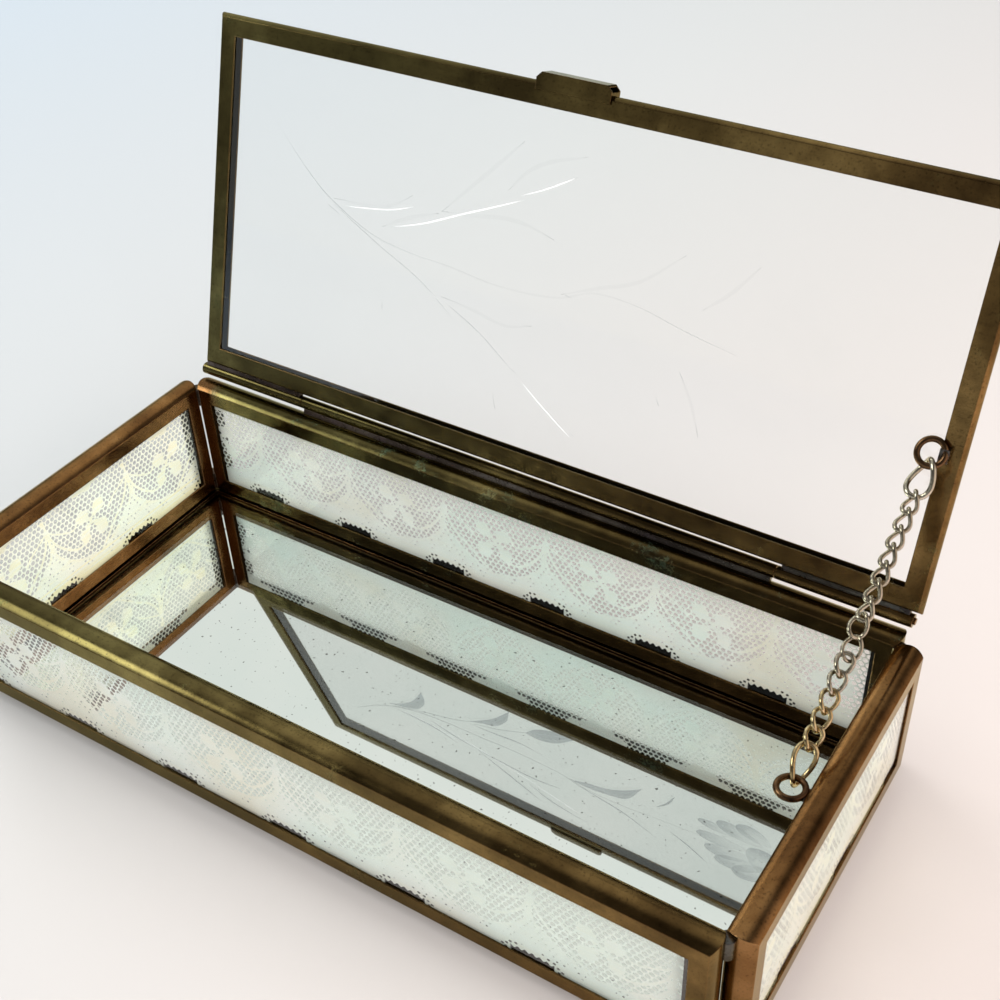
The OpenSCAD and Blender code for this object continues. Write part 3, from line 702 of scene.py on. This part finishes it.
# the flower's petals, from the root a to the tip b
flowerCuts = [dict(a=(66, 52), b=(68, 33), w=11), dict(a=(69.3, 29), b=(60.7, 21.8), w=8.5),
              dict(a=(67.1, 31.2), b=(53.9, 26.6), w=8.5), dict(a=(61.5, 31), b=(47.9, 31.6), w=5.5),
              dict(a=(62, 37.9), b=(46.6, 41.6), w=7), dict(a=(64, 42.7), b=(48.5, 50.5), w=8),
              dict(a=(66.5, 46.2), b=(51.3, 56.8), w=8), dict(a=(68, 45.5), b=(57.3, 61.5), w=8)]


def threeRows(rows, lift):
    # two strips of faces between three rows of points, with the middle row cut deeper
    verts = []
    for k, row in enumerate(rows):
        verts += [lidPoint(p[0], p[1], spray["n"] - (lift if k == 1 else 0)) for p in row]
    m = len(rows[0])
    return verts, [(k * m + i, k * m + i + 1, (k + 1) * m + i + 1, (k + 1) * m + i)
                   for k in (0, 1) for i in range(m - 1)]


def taperStroke(pts, width, lift, n=6):
    line = smoothLine(pts, n)
    d = np.gradient(line, axis=0)
    d /= np.linalg.norm(d, axis=1)[:, None]
    side = np.stack([-d[:, 1], d[:, 0]], 1)
    s = np.linspace(0, 1, len(line))
    half = width / 2 * np.sin(np.pi * np.clip(s, 0.02, 0.98)) ** 0.6
    rows = [line + side * half[:, None], line, line - side * half[:, None]]
    return threeRows(rows, lift)


def crescent(cut, lift):
    outer = smoothLine(cut["side"], 5)
    inner = smoothLine([cut["side"][0]] + cut["other"] + [cut["side"][-1]], 5)
    s = np.linspace(0, 1, 15)

    def even(line):
        run = np.concatenate([[0], np.cumsum(np.linalg.norm(np.diff(line, axis=0), axis=1))])
        return np.stack([np.interp(s * run[-1], run, line[:, i]) for i in (0, 1)], 1)

    a, b = even(outer), even(inner)
    return threeRows((a, (a + b) / 2, b), lift)


def joinParts(parts):
    verts, faces, deep = [], [], []
    for v, f, *d in parts:
        faces += [tuple(i + len(verts) for i in q) for q in f]
        verts += v
        deep += d[0] if d else [1.0] * len(v)
    return verts, faces, deep


def petalCut(p):
    a, b = np.array(p["a"], float), np.array(p["b"], float)
    d = (b - a) / np.linalg.norm(b - a)
    n = np.array([-d[1], d[0]])
    c = (a + b) / 2
    half = np.linalg.norm(b - a) / 2
    count = spray["petalSteps"]
    t = np.linspace(0, 2 * np.pi, count + 1)[:-1]
    wide = p["w"] / 2 * np.sin(t) * (1 + 0.3 * np.cos(t))
    ring = c + np.outer(half * np.cos(t), d) + np.outer(wide, n)
    verts = [lidPoint(c[0], c[1], spray["n"] - spray["petalDeep"])]
    verts += [lidPoint(q[0], q[1], spray["n"]) for q in ring]
    deep = [0.3] + list(0.12 + 0.88 * ((np.cos(t) + 1) / 2) ** 1.6)
    return verts, [(0, i + 1, (i + 1) % count + 1) for i in range(count)], deep


leaves = [crescent(c, spray["leafDeep"]) for c in leafCuts]
for name, parts, mat in (
        ("sprayLeaves", leaves + [petalCut(p) for p in flowerCuts], cutGrey),
        ("sprayGrooves", [taperStroke(g["pts"], g["w"], spray["grooveDeep"]) for g in grooves], cutLine),
        ("sprayGlints", [taperStroke(g["pts"], g["w"], spray["grooveDeep"]) for g in glintCuts], cutGlint)):
    v, f, deep = joinParts(parts)
    obj = makeObject(name, v, f, mat, "lid")
    obj.data.attributes.new("cut", "FLOAT", "POINT").data.foreach_set("value", np.array(deep, np.float32))
print("spray cut")

# table, light and camera
table = dict(half=8.0, coolAt=-0.5, warmAt=0.35, cool=(0.41, 0.455, 0.495), plain=(0.52, 0.515, 0.5),
             warm=(0.66, 0.54, 0.49), rough=0.6, shine=0.25)
mat, t = newMaterial("paleTable")
at = put(t, "TexCoord").outputs["Object"]
side = put(t, "SeparateXYZ", {"Vector": at}).outputs[0]
# painted light: the table is painted bluer to the left and warmer and lighter to the right, for the colour of
# the light falling there
tint = ramp(t, between(t, side, table["coolAt"], table["warmAt"]),
            [(0.0, table["cool"]), (0.45, table["plain"]), (1.0, table["warm"])])
shader = put(t, "BsdfPrincipled", {"Base Color": tint, "Roughness": table["rough"],
                                   "Specular IOR Level": table["shine"]})
put(t, "OutputMaterial", {"Surface": shader.outputs[0]})
h = table["half"]
mesh = bpy.data.meshes.new("table")
mesh.from_pydata([(-h, -h, 0), (h, -h, 0), (h, h, 0), (-h, h, 0)], [], [(0, 1, 2, 3)])
mesh.materials.append(mat)
tableTop = bpy.data.objects.new("table", mesh)
bpy.context.scene.collection.objects.link(tableTop)
tableTop.location.z = cadBounds[0][2]

world = bpy.data.worlds.new("room")
bpy.context.scene.world = world
world.use_nodes = True
w = world.node_tree
w.nodes.clear()
way = put(w, "TexCoord").outputs["Generated"]
# what the metal and the mirror see: a dim room, with each glow's direction, where it starts and is full
roomLook = dict(dim=(0.115, 0.112, 0.106), soft=(0.9, 0.955, 1.0, 1), glows=[
    dict(to=(-0.5, 0.57, 0.68), low=0.68, high=0.97, color=(0.71, 0.72, 0.675)),     # pale wall behind
    dict(to=(0.95, 0.1, 0.2), low=0.5, high=0.95, color=(0.95, 0.8, 0.68)),          # warm wall on the right
    dict(to=(-0.3, -0.94, 0.0), low=0.75, high=0.97, color=(0.42, 0.43, 0.4)),       # grey in front
    dict(to=(-0.72, -0.25, 0.65), low=0.968, high=0.988, color=(6.5, 6.7, 6.1))])    # window high on the left
room = roomLook["dim"]
for glow in roomLook["glows"]:
    d = put(w, "VectorMath", {0: way, 1: Vector(glow["to"]).normalized()}, operation="DOT_PRODUCT")
    f = put(w, "MapRange", {"Value": d.outputs["Value"], "From Min": glow["low"], "From Max": glow["high"]},
            interpolation_type="SMOOTHSTEP").outputs[0]
    room = mixColor(w, 1.0, room, mixColor(w, f, (0.0, 0.0, 0.0), glow["color"]), "ADD")
path = put(w, "LightPath")
glossy = put(w, "Background", {"Color": room, "Strength": 1.0})
soft = put(w, "Background", {"Color": roomLook["soft"], "Strength": 1.0})
plain = put(w, "Background", {"Color": (1, 1, 1, 1), "Strength": 1.0})
a = put(w, "MixShader", {0: path.outputs["Is Glossy Ray"], 1: soft.outputs[0], 2: glossy.outputs[0]})
b = put(w, "MixShader", {0: path.outputs["Is Camera Ray"], 1: a.outputs[0], 2: plain.outputs[0]})
put(w, "OutputWorld", {"Surface": b.outputs[0]})

lamps = dict(
    key=dict(at=(-1.5, 0.35, 0.95), aim=(0, 0, 0.03), size=(1.2, 0.9), watts=24, color=(0.97, 0.99, 1.0)),
    fill=dict(at=(1.1, -1.2, 0.9), aim=(0, 0, 0.02), size=(1.2, 1.0), watts=22, color=(1.0, 0.97, 0.93)),
    warm=dict(at=(0.6, -0.02, 0.36), aim=(0.26, -0.08, 0), size=(0.4, 0.3), watts=2, color=(1.0, 0.8, 0.7)))
for name, lamp in lamps.items():
    data = bpy.data.lights.new(name, "AREA")
    data.shape = "RECTANGLE"
    data.size, data.size_y = lamp["size"]
    data.energy = lamp["watts"]
    data.color = lamp["color"]
    obj = bpy.data.objects.new(name, data)
    bpy.context.scene.collection.objects.link(obj)
    obj.location = lamp["at"]
    obj.rotation_euler = (Vector(lamp["aim"]) - Vector(lamp["at"])).to_track_quat("-Z", "Y").to_euler()
    # the lamps light the box, but neither the metal nor the panes show them
    obj.visible_glossy = False
    obj.visible_transmission = False

view = dict(at=(0.146067, -0.177468, 0.244983), turn=(0.8803494576, 0.0319448608, 0.5622932970),
            lens=51.694, sensor=36, shift=(-0.00844, 0.02717), near=0.01)
camData = bpy.data.cameras.new("camera")
camera = bpy.data.objects.new("camera", camData)
bpy.context.scene.collection.objects.link(camera)
camera.location = view["at"]
camera.rotation_euler = view["turn"]
camData.lens = view["lens"]
camData.sensor_width = view["sensor"]
camData.shift_x, camData.shift_y = view["shift"]
camData.clip_start = view["near"]
bpy.context.scene.camera = camera
bpy.context.scene.view_settings.view_transform = "Standard"
print("table, light and camera set")
